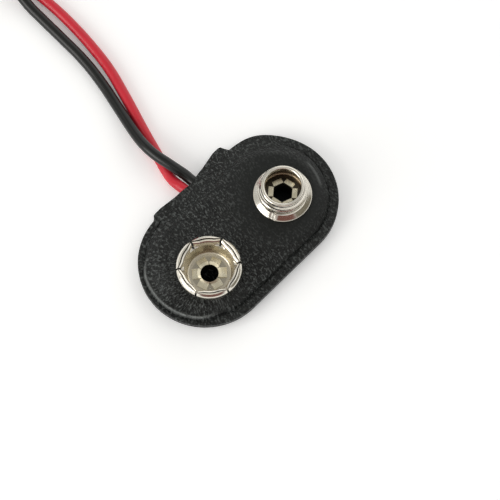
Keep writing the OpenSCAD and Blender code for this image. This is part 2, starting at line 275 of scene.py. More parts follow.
@named
class StageSettings(bpy.types.PropertyGroup):
    """Camera, floor and light"""

    azimuth: angle(-49.3, "Direction that the camera looks from")
    elevation: angle(70.4, "Height of the camera above the horizon")
    distance: length(200, "Distance of the camera from its target")
    target: partial(
        FloatVectorProperty, description="Point in the middle of the picture",
        default=(-0.00063, -0.00108, 0.001), subtype="TRANSLATION", unit="LENGTH",
    )
    focal: partial(FloatProperty, description="Focal length in millimetres", default=126.0)
    floor: colour((0.98, 0.98, 0.98), "Colour of the floor")
    lift: colour((0.18, 0.18, 0.18), "Light that the eye and the metal see the floor give off")
    warm_card: colour((0.18, 0.08, 0.067), "Light that the metal reflects from the front")
    grey_card: colour((0.2, 0.185, 0.145), "Light that the metal reflects from the right")
    light_card: colour((0.98, 0.94, 0.86), "Light that the metal reflects from the left")


class Signal:
    """An output socket of a node tree that takes part in sums."""

    def __init__(self, tree, socket=None):
        self.tree = tree
        self.socket = socket

    def node(self, kind, settings=None, inputs=None, output=0):
        """Adds a node of a kind with its settings and inputs, and gives one of its outputs."""
        made = self.tree.nodes.new(kind)
        for name, value in (settings or {}).items():
            setattr(made, name, value)
        for key, value in (inputs or {}).items():
            if isinstance(value, Signal):
                self.tree.links.new(value.socket, made.inputs[key])
            else:
                made.inputs[key].default_value = value
        return Signal(self.tree, made.outputs[output])

    def math(self, operation, *values):
        """A Math node on signals or numbers."""
        return self.node("ShaderNodeMath", {"operation": operation}, dict(enumerate(values)))

    def vector(self, operation, *values, output=0):
        """A Vector Math node."""
        inputs = dict(enumerate(values))
        return self.node("ShaderNodeVectorMath", {"operation": operation}, inputs, output)

    def mix(self, factor, a, b):
        """A blend of two colours, each a signal or a share of red, green and blue."""
        a, b = (end if isinstance(end, Signal) else (*end, 1) for end in (a, b))
        return self.node("ShaderNodeMix", {"data_type": "RGBA"}, {"Factor": factor, 6: a, 7: b}, 2)

    def ramp(self, low, high):
        """0 below low, 1 above high and smooth between."""
        inputs = {0: self, 1: low, 2: high}
        return self.node("ShaderNodeMapRange", {"interpolation_type": "SMOOTHSTEP"}, inputs)

    def __add__(self, other):
        return self.math("ADD", self, other)

    def __radd__(self, other):
        return self.math("ADD", other, self)

    def __sub__(self, other):
        return self.math("SUBTRACT", self, other)

    def __rsub__(self, other):
        return self.math("SUBTRACT", other, self)

    def __mul__(self, other):
        return self.math("MULTIPLY", self, other)

    def __rmul__(self, other):
        return self.math("MULTIPLY", other, self)

    def __truediv__(self, other):
        return self.math("DIVIDE", self, other)


class Finish:
    """A material under construction: its shader, its coordinates and its common textures."""

    def __init__(self, name, **constants):
        self.material = bpy.data.materials.new(name)
        self.material.use_nodes = True
        self.tree = self.material.node_tree
        self.shader = self.tree.nodes["Principled BSDF"]
        for key, value in constants.items():
            self.shader.inputs[key.replace("_", " ")].default_value = value
        self.start = Signal(self.tree)
        self.place = self.start.node("ShaderNodeTexCoord", output="Object")

    def feed(self, key, signal):
        """Links a signal to one of the shader's inputs."""
        self.tree.links.new(signal.socket, self.shader.inputs[key])

    def noise(self, size, detail=2.0, place=None, output="Fac"):
        """Noise with features of about a size in metres."""
        return self.start.node(
            "ShaderNodeTexNoise", None,
            {"Vector": place or self.place, "Scale": 1 / size, "Detail": detail}, output,
        )

    def cells(self, size, place=None):
        """Distance to the edges of irregular cells of about a size, from 0 at the edges."""
        return self.start.node(
            "ShaderNodeTexVoronoi", {"feature": "DISTANCE_TO_EDGE"},
            {"Vector": place or self.place, "Scale": 1 / size}, "Distance",
        )

    def level(self):
        """Height of a point."""
        return self.start.node("ShaderNodeSeparateXYZ", None, {0: self.place}, "Z")

    def painted(self, name):
        """What an attribute of the mesh holds."""
        return self.start.node("ShaderNodeAttribute", {"attribute_name": name}, output="Fac")

    def away(self, spot):
        """Plan distance from a spot."""
        flat = self.start.vector("MULTIPLY", self.place, FLAT)
        return self.start.vector("DISTANCE", flat, spot, output="Value")

    def way_from(self, spot):
        """Plan direction from a spot."""
        from_spot = self.start.vector("SUBTRACT", self.place, spot)
        return self.start.vector("NORMALIZE", self.start.vector("MULTIPLY", from_spot, FLAT))

    def drawn_out(self, place, turn, times):
        """Coordinates that make a texture longer along a direction in plan."""
        return self.start.node(
            "ShaderNodeMapping", {"vector_type": "TEXTURE"},
            {"Vector": place, "Rotation": (0, 0, turn), "Scale": (times, 1, 1)},
        )

    def rays(self, spot, count):
        """Noise in about a number of rays round a spot."""
        return self.noise(math.tau / count, 2.0, self.way_from(spot))

    def spokes(self, spot, size, times):
        """Noise with features of about a size, drawn out away from a spot."""
        ring = self.start.vector("MULTIPLY", self.way_from(spot), (SPOKE_RADIUS,) * 3)
        out = self.start.node("ShaderNodeCombineXYZ", None, {2: self.away(spot) / times})
        return self.noise(size, 1.0, self.start.vector("ADD", ring, out))

    def bump(self, height, depth, strength=1.0):
        """Raises the surface by a signal, up to a depth in metres."""
        inputs = {"Strength": strength, "Distance": depth, "Height": height}
        self.feed("Normal", self.start.node("ShaderNodeBump", None, inputs))

    def shades(self, factor, dark, light):
        """Feeds the base colour with a blend of two colours."""
        self.feed("Base Color", self.start.mix(factor, dark, light))


def tint(shade, factor):
    """A colour made lighter or darker."""
    return tuple(min(1, c * factor) for c in shade)


def leatherette(pad):
    """Black coated cloth: pebbled in the middle and on the rim, pressed smoother beside the stud."""
    f = Finish("leatherette", Specular_IOR_Level=0.27)
    drift = f.noise(4 * pad.grain, output="Color")
    swirl = f.start.vector("MULTIPLY_ADD", drift, (0.6 * MM,) * 3, f.place)
    pebbles = f.cells(pad.grain, swirl).ramp(0.0, 0.3)
    stroke, stretch = 0.5 * pad.grain, 2.0
    straight = f.noise(stroke, 1.0, f.drawn_out(swirl, math.radians(80), stretch))
    past_crown = f.away(STUD_SPOT).ramp(11 * MM, 15 * MM)
    creases = straight * (1 - past_crown) + f.spokes(CROWN_SPOT, stroke, stretch) * past_crown
    fine = f.noise(0.28 * MM, 2.0)
    patches = f.noise(3.2 * MM, 2.0)
    rim, crest_highlight = f.painted("rim"), f.painted("crest_highlight")
    # Painted sheen: a broad lighter patch beside the crown
    sheen = 1 - f.away(SHEEN_SPOT).ramp(0.3 * MM, 2.8 * MM)
    from_crown = f.away(CROWN_SPOT)
    open_field = f.away(STUD_SPOT).ramp(3.4 * MM, 9 * MM)
    folds = f.rays(CROWN_SPOT, 60) * from_crown.ramp(3.2 * MM, 4.2 * MM)
    folds = folds * (1 - from_crown.ramp(5 * MM, 7.5 * MM))
    strength = open_field * (0.35 + patches) * (1 - rim * 0.5) + rim * 0.25 + 0.08
    f.bump((pebbles * 0.5 + creases * 1.2 + fine * 0.3) * strength + folds * 0.6, 0.17 * MM, 1.0)
    # The creases are lightened partly as wear and partly as painted glints, and the sheen adds painted
    # light
    worn = creases.ramp(0.5, 0.68) * strength + fine * 0.03 + sheen * 0.16
    shade = f.start.mix(worn, tint(pad.leather, 0.8), pad.worn)
    # The pinched crest is painted lighter as a highlight
    f.feed("Base Color", f.start.mix(crest_highlight * 0.9, shade, pad.rubbed))
    f.feed("Roughness", 0.38 + fine * 0.12 - crest_highlight * 0.1)
    return f.material


def nickel(name, spot, radius, height, inside, shaded_radius, recess_darkness):
    """Nickel plate, with painted reflection and shade inside a radius and below a height, and darker
    painted shade within a second radius.
    """
    f = Finish(name, Metallic=1.0)
    haze = f.noise(0.9 * MM, 4.0)
    marks = f.noise(0.16 * MM, 2.0)
    level = f.level()
    reach = f.away(spot)
    hollow = 1 - reach.ramp(radius - 0.05 * MM, radius + 0.05 * MM)
    hollow = hollow * (1 - level.ramp(height - 0.25 * MM, height))
    plate = f.start.mix(haze, (0.66, 0.62, 0.53), (0.84, 0.81, 0.74))
    # Painted reflection and shade: the hollow takes a darker khaki tint
    inner_shade_and_reflection = f.start.mix(haze, tint(inside, 0.8), tint(inside, 1.15))
    # Painted shade: the floor near the middle is darker still
    recess_shade = 1 - reach.ramp(shaded_radius - 0.2 * MM, shaded_radius)
    inner_shade_and_reflection = f.start.mix(recess_shade, inner_shade_and_reflection, tint(inside, recess_darkness))
    shade = f.start.mix(hollow, plate, inner_shade_and_reflection)
    # Painted shade: the bottom of the crease along the curl is nearly black
    f.feed("Base Color", f.start.mix(f.painted("crease"), shade, (0.03, 0.027, 0.02)))
    f.feed("Roughness", 0.1 + haze * 0.1 + marks * 0.05 + hollow * 0.08)
    grooves = f.noise(0.22 * MM, 1.0, f.start.node("ShaderNodeCombineXYZ", None, {0: reach, 1: level}))
    f.bump(grooves * 0.9 + marks * 0.1, 0.03 * MM, 0.6)
    return f.material


def rivet_plate(name, spot, tube, rest_z):
    """Thin plate over brass, yellowed and a little dull, and painted nearly black inside the bore as
    shade.
    """
    f = Finish(name, Metallic=1.0)
    haze = f.noise(0.7 * MM, 4.0)
    marks = f.noise(0.12 * MM, 2.0)
    # Painted shade: the bore below the petals is nearly black
    recess_shade = 1 - f.away(spot).ramp(tube - 0.02 * MM, tube)
    recess_shade = recess_shade * (1 - f.level().ramp(rest_z - 0.06 * MM, rest_z))
    plate = f.start.mix(haze, (0.57, 0.51, 0.36), (0.84, 0.79, 0.63))
    f.feed("Base Color", f.start.mix(recess_shade, plate, (0.02, 0.017, 0.012)))
    f.feed("Roughness", 0.16 + haze * 0.14 + marks * 0.06 + recess_shade * 0.4)
    f.bump(marks, 0.006 * MM, 0.6)
    return f.material


def jacket(name, shade):
    """Smooth soft plastic of a lead."""
    f = Finish(name, Specular_IOR_Level=0.36)
    cloud = f.noise(2.5 * MM, 3.0)
    fine = f.noise(0.25 * MM, 2.0)
    f.shades(cloud, tint(shade, 0.88), tint(shade, 1.1))
    f.feed("Roughness", 0.2 + fine * 0.1)
    f.bump(fine, 0.008 * MM, 0.5)
    return f.material


def even_finish(name, dark, light, rough, size, detail, depth, strength, **constants):
    """A finish whose colour, roughness and relief follow one noise."""
    f = Finish(name, **constants)
    grain = f.noise(size, detail)
    f.shades(grain, dark, light)
    f.feed("Roughness", rough + grain * 0.2)
    f.bump(grain, depth, strength)
    return f.material


def fibre_card():
    """Matte pressed fibre."""
    return even_finish(
        "fibre_card", (0.14, 0.075, 0.035), (0.26, 0.15, 0.07), 0.7, 0.3 * MM, 4.0, 0.02 * MM, 0.6,
        Specular_IOR_Level=0.3,
    )


def wire_metal(name, dark, light, rough):
    """Bare or tinned wire metal."""
    return even_finish(name, dark, light, rough, 0.3 * MM, 3.0, 0.01 * MM, 0.5, Metallic=1.0)


def tie_band():
    """Matte black vinyl band."""
    return even_finish(
        "tie_band", (0.018,) * 3, (0.045, 0.045, 0.044), 0.5, 0.2 * MM, 3.0, 0.015 * MM, 0.6,
        Specular_IOR_Level=0.4,
    )


def wire(bm, points, closed=True):
    """Joins points to a wire."""
    verts = [bm.verts.new(p) for p in points]
    ends = verts[1:] + verts[:1] if closed else verts[1:]
    return verts, [bm.edges.new(pair) for pair in zip(verts, ends)]


def soft_section(bm, corners, segments=5, closed=True):
    """A section in the XZ plane from corners, each a distance, a height and a rounding."""
    verts, _ = wire(bm, [(x, 0, z) for x, z, _ in corners], closed)
    for vert, (_, _, soft) in zip(verts, corners):
        if soft:
            bmesh.ops.bevel(
                bm, geom=[vert], offset=soft, segments=segments, profile=0.5, affect="VERTICES",
                material=-1,
            )


def spin(bm, geom, angle, steps, cent=(0, 0, 0), **more):
    """Carries geometry round an upright axis and gives what lies at the end."""
    made = bmesh.ops.spin(bm, geom=geom, cent=cent, axis=UP, angle=angle, steps=steps, **more)
    return made["geom_last"]


def turned(corners, steps, segments=5):
    """A closed solid that a soft section makes round the Z axis."""
    bm = bmesh.new()
    soft_section(bm, corners, segments)
    spin(bm, bm.verts[:] + bm.edges[:], math.tau, steps, use_merge=True)
    tidy_skin(bm)
    return bm


def cone(bm, place, low, high, radii, sides):
    """Adds a closed cone or prism between two heights."""
    bmesh.ops.create_cone(
        bm, cap_ends=True, segments=sides, radius1=radii[0], radius2=radii[1], depth=high - low,
        matrix=place @ Matrix.Translation(UP * (low + high) / 2),
    )


def set_at(spot, turn):
    """Transform that turns about the Z axis and then moves to a spot."""
    return Matrix.Translation(spot) @ Matrix.Rotation(turn, 4, "Z")


def tidy_skin(bm):
    """Merges doubles and turns the faces outwards."""
    bmesh.ops.remove_doubles(bm, verts=bm.verts, dist=0.001 * MM)
    bmesh.ops.recalc_face_normals(bm, faces=bm.faces)


def plan_angle(point):
    """Angle of a point round the Z axis."""
    return math.atan2(point.y, point.x)


def turn_between(turn, middle):
    """Angle from a middle, at most half a turn either way."""
    return (turn - middle + math.pi) % math.tau - math.pi


def smooth_step(low, high, value):
    """0 below low, 1 above high and smooth between."""
    t = min(1, max(0, (value - low) / (high - low)))
    return t * t * (3 - 2 * t)


def add_object(name, data):
    """Adds an object to the scene."""
    made = bpy.data.objects.new(name, data)
    bpy.context.scene.collection.objects.link(made)
    return made


def aim(thing, spot, back):
    """Puts a camera or lamp at a spot, facing away from a direction."""
    thing.location = spot
    thing.rotation_mode = "QUATERNION"
    thing.rotation_quaternion = back.to_track_quat("Z", "Y")


def add_mesh(name, bm, finish=None):
    """Turns a bmesh into an object in the scene."""
    mesh = bpy.data.meshes.new(name)
    bm.to_mesh(mesh)
    bm.free()
    mesh.shade_smooth()
    if finish:
        mesh.materials.append(finish)
    return add_object(name, mesh)


def dress(piece, slot, *nodes):
    """Rides a piece on the part, in place of its CAD nodes."""
    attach(piece, "root")
    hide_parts(*nodes)
    return piece


def cut(piece, cutter):
    """Takes a cutter away from a piece's own mesh and removes the cutter."""
    knife = piece.modifiers.new("cut", "BOOLEAN")
    knife.operation = "DIFFERENCE"
    knife.solver = "EXACT"
    knife.object = cutter
    graph = bpy.context.evaluated_depsgraph_get()
    old = piece.data
    piece.data = bpy.data.meshes.new_from_object(piece.evaluated_get(graph))
    piece.modifiers.clear()
    piece.data.name = piece.name
    bpy.data.meshes.remove(old)
    bpy.data.objects.remove(cutter)


def clean_cuts(piece):
    """Dissolves the slivers that cuts leave."""
    bm = bmesh.new()
    bm.from_mesh(piece.data)
    bmesh.ops.dissolve_degenerate(bm, dist=0.002 * MM, edges=bm.edges)
    tidy_skin(bm)
    bm.to_mesh(piece.data)
    bm.free()


def soften_edges(piece, width, limit):
    """Rounds a metal piece's edges that are sharper than a limit."""
    edge = piece.modifiers.new("edges", "BEVEL")
    edge.width = width
    edge.segments = 2
    edge.limit_method = "ANGLE"
    edge.angle_limit = limit
    piece.data.set_sharp_from_angle(angle=limit)


def look_from(azimuth, elevation):
    """Unit vector from the target towards a viewer or lamp."""
    flat = math.cos(elevation)
    return Vector((math.sin(azimuth) * flat, -math.cos(azimuth) * flat, math.sin(elevation)))


def set_camera(context, stage):
    """The camera at the picture's viewing angle."""
    data = bpy.data.cameras.new("camera")
    data.lens = stage.focal
    data.clip_start = 10 * MM
    context.scene.camera = add_object("camera", data)
    back = look_from(stage.azimuth, stage.elevation)
    aim(context.scene.camera, Vector(stage.target) + back * stage.distance, back)


def lay_floor(stage):
    """A plain pale floor."""
    bm = bmesh.new()
    bmesh.ops.create_grid(bm, x_segments=1, y_segments=1, size=FLOOR_HALF)
    f = Finish("floor", Roughness=0.9, Specular_IOR_Level=0.1, Emission_Strength=1.0)
    f.shades(f.noise(20 * MM), tint(stage.floor, 0.995), stage.floor)
    rays = ("Is Camera Ray", "Is Glossy Ray", "Is Transmission Ray")
    seen = sum(f.start.node("ShaderNodeLightPath", output=ray) for ray in rays)
    f.feed("Emission Color", f.start.mix(seen, (0, 0, 0), stage.lift))
    add_mesh("floor", bm, f.material)


def hang_lamps():
    """Soft boxes: direction in degrees, distance and side in metres, watts and colour."""
    for name, azimuth, elevation, distance, side, watts, shade in (
        ("left_box", -112, 27, 0.5, 0.34, 1.3, (1, 0.985, 0.96)),
        ("far_box", 112, 27, 0.6, 0.5, 0.5, (1, 0.99, 0.96)),
        ("right_box", 65, 38, 0.55, 0.5, 0.4, (1, 1, 0.99)),
    ):
        lamp = bpy.data.lights.new(name, "AREA")
        lamp.shape = "SQUARE"
        lamp.size = side
        lamp.energy = watts
        lamp.color = shade
        back = look_from(math.radians(azimuth), math.radians(elevation))
        aim(add_object(name, lamp), back * distance, back)


def stand_cards(stage):
    """Cards seen only in reflections: direction in degrees, half sizes in metres and light."""
    for name, azimuth, elevation, across, up, shade in (
        ("warm_card", -40, 26, 0.26, 0.17, stage.warm_card),
        ("grey_card", 24, 19, 0.36, 0.16, stage.grey_card),
        ("side_card", -162, 44, 0.14, 0.08, stage.light_card),
        ("light_card", -121, 57, 0.14, 0.08, stage.light_card),
        ("high_card", -60, 66, 0.14, 0.08, stage.light_card),
    ):
        back = look_from(math.radians(azimuth), math.radians(elevation))
        face = back.to_track_quat("Z", "Y").to_matrix().to_4x4()
        place = Matrix.Translation(back * CARD_DISTANCE) @ face @ Matrix.Diagonal((across, up, 1, 1))
        bm = bmesh.new()
        bmesh.ops.create_grid(bm, x_segments=1, y_segments=1, size=1, matrix=place)
        f = Finish(name, Roughness=1.0, Specular_IOR_Level=0.0, Emission_Strength=1.0)
        f.shades(f.noise(60 * MM), (0, 0, 0), (0.01, 0.005, 0.005))
        f.feed("Emission Color", f.start.mix(card_fade(f, place), shade, ROOM_SHADE))
        card = add_mesh(name, bm, f.material)
        card.visible_camera = card.visible_diffuse = card.visible_shadow = False


def card_fade(f, place):
    """0 in the middle of a card and 1 at its edges."""
    from_middle = f.start.vector("SUBTRACT", f.place, place.translation)
    shares = []
    for axis in (place.col[0].xyz, place.col[1].xyz):
        along = f.start.vector("DOT_PRODUCT", from_middle, axis / axis.length_squared, output="Value")
        shares.append(f.start.math("ABSOLUTE", along))
    return f.start.math("MAXIMUM", *shares).ramp(0.65, 1.0)


def paint_sky(context):
    """A pale room that is darker overhead."""
    world = bpy.data.worlds.new("room")
    world.use_nodes = True
    context.scene.world = world
    tree = world.node_tree
    start = Signal(tree)
    way = start.node("ShaderNodeTexCoord", output="Generated")
    rise = start.node("ShaderNodeSeparateXYZ", None, {0: way}, "Z")
    shade = start.mix(rise.ramp(0.1, 0.95), ROOM_SHADE, (0.55, 0.545, 0.53))
    tree.links.new(shade.socket, tree.nodes["Background"].inputs["Color"])


class SNAP_OT_stage(bpy.types.Operator):
    """Sets up the camera, the pale floor and the soft studio light"""

    bl_idname = "snap.stage"
    bl_label = "Stage"

    def execute(self, context):
        stage = context.scene.snap_stage
        set_camera(context, stage)
        lay_floor(stage)
        hang_lamps()
        stand_cards(stage)
        paint_sky(context)
        context.scene.view_settings.view_transform = "Standard"
        return {"FINISHED"}


def wound_points(last, leads):
    """Points of the run in, the turns and the bent inner end of a lead, from its route's last point."""
    centre = last + Vector((leads.turn_radius, leads.run_in, 0))
    inner = leads.inner_radius + leads.diameter / 2
    sweep = math.tau * leads.turns + math.pi - leads.end_angle
    turn_steps, bend_steps = 24, 5
    steps = turn_steps * leads.turns + turn_steps // 4
    points = [last + Vector((0, leads.run_in / 2, 0))]
    for i in range(steps + 1):
        share = i / steps
        radius = leads.turn_radius + (inner - leads.turn_radius) * share
        points.append(centre + radius * look_from(math.pi * 1.5 - sweep * share, 0))
    bend_centre = centre + (inner - leads.bend) * flat_way(leads.end_angle)
    for i in range(1, bend_steps + 1):
        turn = leads.end_angle - leads.bend_sweep * i / bend_steps
        points.append(bend_centre + leads.bend * flat_way(turn))
    points.append(points[-1] + leads.stub * end_way(leads))
    return points


def flat_way(turn):
    """Level unit vector at an angle from the X axis."""
    return Vector((math.cos(turn), math.sin(turn), 0))


def end_way(leads):
    """Direction in which the wound part's inner end points."""
    return flat_way(leads.end_angle - leads.bend_sweep - math.pi / 2)


def lead_points(route, leads):
    """All points of a lead's centre line."""
    points = [Vector(p) * MM for p in route]
    return points + wound_points(points[-1], leads)


def lay_cord(name, points, diameter, finish):
    """A round cord along points."""
    curve = bpy.data.curves.new(name, "CURVE")
    curve.dimensions = "3D"
    curve.bevel_depth = diameter / 2
    curve.bevel_resolution = 5
    curve.resolution_u = 5
    curve.use_fill_caps = True
    spline = curve.splines.new("BEZIER")
    spline.bezier_points.add(len(points) - 1)
    for knot, point in zip(spline.bezier_points, points):
        knot.co = point
        knot.handle_left_type = knot.handle_right_type = "AUTO"
    curve.materials.append(finish)
    return add_object(name, curve)


def strand_end(name, start, leads, finish):
    """A tinned end of twisted strands."""
    strands, valley, steps, twist = 7, 0.86, 20, math.radians(200)
    bm = bmesh.new()
    ring = bmesh.ops.create_circle(bm, cap_ends=True, radius=leads.strands / 2, segments=4 * strands)
    for i, vert in enumerate(ring["verts"]):
        vert.co *= 1 if i % 4 in (1, 2) else valley
    spin(bm, bm.faces[:], twist, steps, dvec=UP * (leads.tip / steps))
    way = end_way(leads)
    place = Matrix.Translation(start) @ UP.rotation_difference(way).to_matrix().to_4x4()
    bmesh.ops.transform(bm, matrix=place, verts=bm.verts)
    tidy_skin(bm)
    return add_mesh(name, bm, finish)


def winding_tie(leads):
    """A band round the turns of both leads."""
    centre = Vector(RED_ROUTE[-1]) * MM + Vector((leads.turn_radius, leads.run_in, 0))
    low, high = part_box("coil_tie")
    near = leads.inner_radius - leads.tie
    far = leads.turn_radius + leads.diameter / 2 + leads.tie
    soft = leads.diameter / 2
    bm = bmesh.new()
    corners = ((near, low.z), (far, low.z), (far, high.z), (near, high.z))
    soft_section(bm, [(x, z, soft) for x, z in corners])
    spin(bm, bm.verts[:] + bm.edges[:], leads.tie_sweep, 8)
    bmesh.ops.recalc_face_normals(bm, faces=bm.faces)
    bmesh.ops.solidify(bm, geom=bm.faces[:], thickness=leads.tie)
    bmesh.ops.transform(bm, matrix=set_at((centre.x, centre.y, 0), leads.tie_angle), verts=bm.verts)
    tie = add_mesh("winding_tie", bm, tie_band())
    return dress(tie, "tie_band", "coil_tie")


class SNAP_OT_leads(bpy.types.Operator):
    """Lays the red and the black lead, with their tinned ends and the tie"""

    bl_idname = "snap.leads"
    bl_label = "Leads"

    def execute(self, context):
        leads = context.scene.snap_leads
        tin = wire_metal("tinned_strands", (0.42, 0.42, 0.41), (0.68, 0.68, 0.66), 0.25)
        tie = winding_tie(leads)
        for name, route, shade in (("red", RED_ROUTE, leads.red), ("black", BLACK_ROUTE, leads.black)):
            points = lead_points(route, leads)
            lead = lay_cord(f"{name}_jacket", points, leads.diameter, jacket(f"{name}_jacket", shade))
            dress(lead, f"{name}_jacket", f"{name}_lead", f"{name}_coil")
            tip = strand_end(f"{name}_strand_end", points[-1], leads, tin)
            dress(tip, "solder", f"{name}_tip")
        return {"FINISHED"}


def make_cover(name, pad, height, side, finish):
    """One cover, standing up (side 1) or hanging down (side -1) from the weld."""
    bm = bmesh.new()
    carry_round(bm, cover_section(pad, height), pad)
    tidy_skin(bm)
    shape_cover(bm, pad, height, side)
    bmesh.ops.solidify(bm, geom=bm.faces[:], thickness=pad.skin)
    flatten_weld(bm)
    stand = Matrix.Diagonal((1, 1, side, 1))
    place = set_at((pad.middle_x, pad.middle_y, WELD_Z), pad.turn)
    bmesh.ops.transform(bm, matrix=place @ stand, verts=bm.verts)
    bmesh.ops.recalc_face_normals(bm, faces=bm.faces)
    return add_mesh(name, bm, finish)


def cover_section(pad, height):
    """Upper outline of a cover from its middle to its rim, as (distance, height) points."""
    field = pad.field
    bm = bmesh.new()
    soft_section(
        bm,
        [
            (0, height, 0), (field, height, pad.field_edge),
            (field + 0.05 * MM, pad.skin * 0.8, 0.12 * MM), (field + 0.22 * MM, pad.skin, 0.06 * MM),
            (pad.end_radius, pad.skin, 0.14 * MM), (pad.end_radius, 0, 0),
        ],
        10, closed=False,
    )
    for longest, cuts in ((2 * MM, 22), (0.4 * MM, 3)):
        long = [e for e in bm.edges if e.calc_length() > longest]
        bmesh.ops.subdivide_edges(bm, edges=long, cuts=cuts)
    ordered = in_order(bm)
    bm.free()
    return ordered


def in_order(bm):
    """Points of an open wire from the middle outwards."""
    here = min((v for v in bm.verts if len(v.link_edges) == 1), key=lambda v: v.co.x)
    points, came = [], None
    while here:
        points.append((here.co.x, here.co.z))
        onward = [e for e in here.link_edges if e is not came]
        came = onward[0] if onward else None
        here = came.other_vert(here) if came else None
    return points


def carry_round(bm, section, pad):
    """Carries the section round both ends and along both sides."""
    half, round_steps, side_steps = pad.span / 2, 96, 72
    verts, edges = wire(bm, [(-half, -d, z) for d, z in section], closed=False)
    run = verts + edges
    for side in (-1, 1):
        run = spin(bm, run, -math.pi, round_steps, cent=(side * half, 0, 0))
        run = spin(bm, run, 0, side_steps, dvec=(-side * pad.span / side_steps, 0, 0))


def shape_cover(bm, pad, height, side):
    """Pulls out the tab, eases the lead side, raises the crests, sinks and pushes out the field's edge
    and shifts the field.
    """
    field = pad.field
    hump = hump_height(pad, side)
    rim = bm.verts.layers.float.new("rim")
    # How much the crests are painted lighter as a highlight
    crest_highlight = bm.verts.layers.float.new("crest_highlight")
    for vert in bm.verts:
        spine = Vector((min(pad.span / 2, max(-pad.span / 2, vert.co.x)), 0, 0))
        out = Vector((vert.co.x, vert.co.y, 0)) - spine
        reach = out.length
        vert[rim] = smooth_step(field - 0.1 * MM, field + 0.15 * MM, reach)
        if reach > field - pad.ease:
            edge = spine + out.normalized() * pad.end_radius
            ease_side(vert, edge, reach, pad, height, hump)
            if side > 0:
                vert[crest_highlight] = raise_crest(vert, out, reach, pad, height)
                sunk = pad.slump * (1 + 0.6 * crown_end(out))
                sunk *= smooth_step(field - pad.ease, field - 0.3 * MM, reach)
                vert.co.z -= sunk * smooth_step(pad.skin, height, vert.co.z)
            vert[rim] *= 1 - lead_side(edge, pad)
            share = smooth_step(field - pad.field_edge, pad.end_radius, reach)
            moved = tab_reach(edge, pad) * share + field_push(out, reach, pad)
            vert.co += out.normalized() * moved
        stay = 1 - smooth_step(field, pad.end_radius, reach)
        vert.co += Vector((pad.field_x, pad.field_y, 0)) * stay


def hump_height(pad, side):
    """Height above the weld to which the leads lift a cover."""
    lead = bpy.context.scene.snap_leads
    axis = RED_ROUTE[EXIT_POINT - 1][2] * MM - WELD_Z
    return side * axis + lead.diameter / 2 + pad.skin


def lead_side(edge, pad):
    """1 between the nubs and behind the stud, where the cover slopes without a rim, or else 0."""
    if edge.y < 0:
        return 0
    if edge.x > pad.span / 2:
        return smooth_step(0.25, 0.8, plan_angle(edge - Vector((pad.span / 2, 0, 0))))
    return 1 - smooth_step(pad.tab_half - 0.9 * MM, pad.tab_half + 0.2 * MM, -edge.x)


def ease_side(vert, edge, reach, pad, height, hump):
    """Slopes the lead side down to the edge and lifts it over the leads."""
    field = pad.field
    over = 1 - smooth_step(1 * MM, 2.4 * MM, abs(edge.x)) if edge.y > 0 else 0
    edge_z = pad.skin + (hump - pad.skin) * over
    if vert.co.z < pad.skin * 0.75:
        vert.co.z *= edge_z / pad.skin
        return
    slope = smooth_step(field - pad.ease, pad.end_radius, reach)
    eased = height + (edge_z - height) * slope
    vert.co.z += (eased - vert.co.z) * lead_side(edge, pad)


def raise_crest(vert, out, reach, pad, height):
    """Raises a narrow crest at the crown's end and a faint one at the stud's, and gives how much of each
    is painted lighter as a highlight.
    """
    field = pad.field
    if vert.co.z < height / 2:
        return 0
    crest_light = 0
    stud_end = 0.5 * smooth_step(0.94, 0.985, math.cos(plan_angle(out) + 0.31))
    for strength, rise, middle, width in (
        (crown_end(out), 1, field - 0.15 * MM, 0.14 * MM),
        (stud_end, 0.3, field - 0.68 * MM, 0.1 * MM),
    ):
        place = (reach - middle) / width
        share = strength * math.exp(-place * place)
        vert.co.z += pad.crest * rise * share
        crest_light += share
    return crest_light


def crown_end(out):
    """1 at the crown's end of the covers, fading along the curve to 0."""
    return smooth_step(0.55, 0.85, -math.cos(plan_angle(out) - 0.1))


def field_push(out, reach, pad):
    """How far the field's edge stands out at the crown's end."""
    field = pad.field
    rise = smooth_step(field - pad.ease, field - 0.4 * MM, reach)
    fall = 1 - smooth_step(field + 0.25 * MM, pad.end_radius, reach)
    return pad.crown_push * crown_end(out) * rise * fall


def tab_reach(edge, pad):
    """How far the outline stands out past the plain long round at a point of its edge."""
    if edge.y < 0:
        return 0
    x = abs(edge.x)
    nub = pad.stud_nub if edge.x > 0 else pad.crown_nub
    flat = pad.tab_half - pad.nub_length
    if x < flat:
        return pad.tab_out + (nub - pad.tab_out) * x / flat
    swell_turn, swell_width = 1.05, 0.3
    behind_stud = (plan_angle(edge - Vector((pad.span / 2, 0, 0))) - swell_turn) / swell_width
    swell = pad.swell * math.exp(-behind_stud * behind_stud) if edge.x > 0 else 0
    return swell + nub * min(1, max(0, (pad.tab_half + pad.nub_slope - x) / pad.nub_slope))


def flatten_weld(bm):
    """Keeps the cover's inner wall above the weld."""
    for vert in bm.verts:
        vert.co.z = max(0, vert.co.z)


def drill_holes(top, rivets):
    """Drills the holes of the two rivets."""
    bm = bmesh.new()
    for spot in (STUD_SPOT, CROWN_SPOT):
        place = Matrix.Translation(spot + UP * PAD_TOP)
        cone(bm, place, -2 * PAST, 2 * PAST, (rivets.hole, rivets.hole), 48)
    cut(top, add_mesh("holes", bm))


class SNAP_OT_covers(bpy.types.Operator):
    """Makes the two welded leatherette covers"""

    bl_idname = "snap.covers"
    bl_label = "Covers"

    def execute(self, context):
        pad = context.scene.snap_pad
        skin = leatherette(pad)
        top = make_cover("top_skin", pad, PAD_TOP - WELD_Z, 1, skin)
        drill_holes(top, context.scene.snap_rivets)
        dress(top, "leatherette", "top_cover")
        dress(make_cover("bottom_skin", pad, WELD_Z, -1, skin), "leatherette", "bottom_cover")
        return {"FINISHED"}


